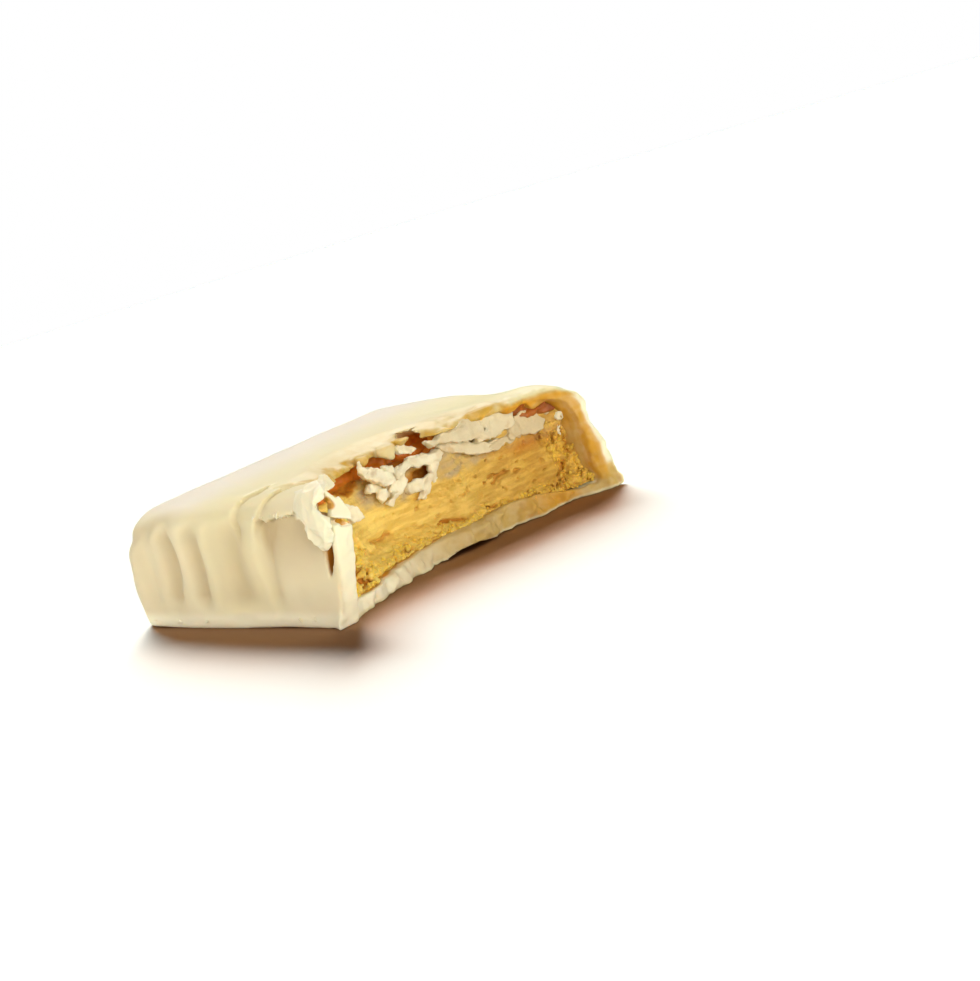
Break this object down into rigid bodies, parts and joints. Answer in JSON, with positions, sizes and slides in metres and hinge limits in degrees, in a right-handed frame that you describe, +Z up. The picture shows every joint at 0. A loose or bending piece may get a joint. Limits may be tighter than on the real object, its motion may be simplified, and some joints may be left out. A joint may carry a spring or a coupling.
{
  "type": "protein bar",
  "caption": "Bitten half of a white-coated protein bar: a rippled shell round golden dough with a thin caramel layer and broken shell in the bite.",
  "frame": {"origin": "the middle of the bar's base, on the surface it lies on: the centre of the bounding box in plan, at its lowest point", "axes": "+X from the closed end towards the bite, +Y across the bar from the near wall to the far one, +Z up"},
  "size_m": [0.04, 0.042, 0.0144],
  "materials": {
    "white_coating": "satin cream-white confectionery coating",
    "broken_coating": "matt broken confectionery coating",
    "dough": "matt, slightly crumbly golden protein dough",
    "caramel": "glossy brown caramel"
  },
  "bodies": {
    "root": {"coating": "white_coating", "core": "dough", "caramel": "caramel", "shard_corner": "broken_coating", "shard_long": "broken_coating", "shard_far": "broken_coating", "shard_arch": "broken_coating", "shard_near": "broken_coating"}
  },
  "joints": []
}
